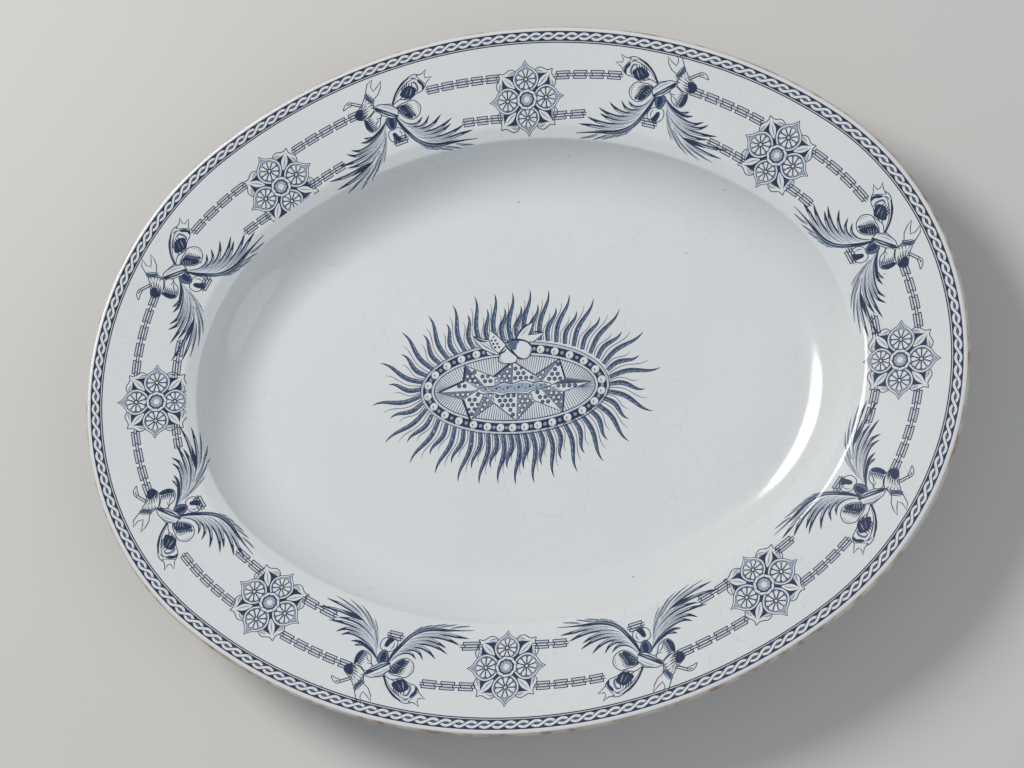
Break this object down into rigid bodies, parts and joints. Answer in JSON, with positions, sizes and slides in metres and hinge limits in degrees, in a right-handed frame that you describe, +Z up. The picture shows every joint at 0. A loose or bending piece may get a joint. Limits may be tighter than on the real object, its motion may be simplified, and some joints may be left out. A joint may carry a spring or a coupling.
{
  "type": "oval serving platter",
  "caption": "Oval glazed earthenware serving platter with a sloping rim, shallow well, low foot ring and dark blue printed border and centre.",
  "frame": {"origin": "middle of the oval, on the surface the foot ring stands on", "axes": "+X along the platter's length, +Y across it, +Z up out of the well"},
  "size_m": [0.4082, 0.3282, 0.0401],
  "materials": {
    "clay": "matte",
    "glaze": "gloss",
    "blue_print": "gloss",
    "worn_edge": "satin"
  },
  "bodies": {
    "root": {"clay_body": "clay", "face_glaze": "glaze", "wall_glaze": "glaze", "base_glaze": "glaze", "edge_line": "worn_edge", "border_band": "blue_print", "border_line": "blue_print", "rosette_1": "blue_print", "rosette_2": "blue_print", "rosette_3": "blue_print", "rosette_4": "blue_print", "rosette_5": "blue_print", "rosette_6": "blue_print", "rosette_7": "blue_print", "rosette_8": "blue_print", "spray_1": "blue_print", "spray_2": "blue_print", "spray_3": "blue_print", "spray_4": "blue_print", "spray_5": "blue_print", "spray_6": "blue_print", "spray_7": "blue_print", "spray_8": "blue_print", "chain_outer_1": "blue_print", "chain_outer_2": "blue_print", "chain_outer_3": "blue_print", "chain_outer_4": "blue_print", "chain_outer_5": "blue_print", "chain_outer_6": "blue_print", "chain_outer_7": "blue_print", "chain_outer_8": "blue_print", "chain_outer_9": "blue_print", "chain_outer_10": "blue_print", "chain_outer_11": "blue_print", "chain_outer_12": "blue_print", "chain_outer_13": "blue_print", "chain_outer_14": "blue_print", "chain_outer_15": "blue_print", "chain_outer_16": "blue_print", "chain_inner_1": "blue_print", "chain_inner_2": "blue_print", "chain_inner_3": "blue_print", "chain_inner_4": "blue_print", "chain_inner_5": "blue_print", "chain_inner_6": "blue_print", "chain_inner_7": "blue_print", "chain_inner_8": "blue_print", "chain_inner_9": "blue_print", "chain_inner_10": "blue_print", "chain_inner_11": "blue_print", "chain_inner_12": "blue_print", "chain_inner_13": "blue_print", "chain_inner_14": "blue_print", "chain_inner_15": "blue_print", "chain_inner_16": "blue_print", "oval_rays": "blue_print", "oval_frame": "blue_print", "oval_field": "blue_print", "oval_star": "blue_print", "oval_bow": "blue_print"}
  },
  "joints": []
}
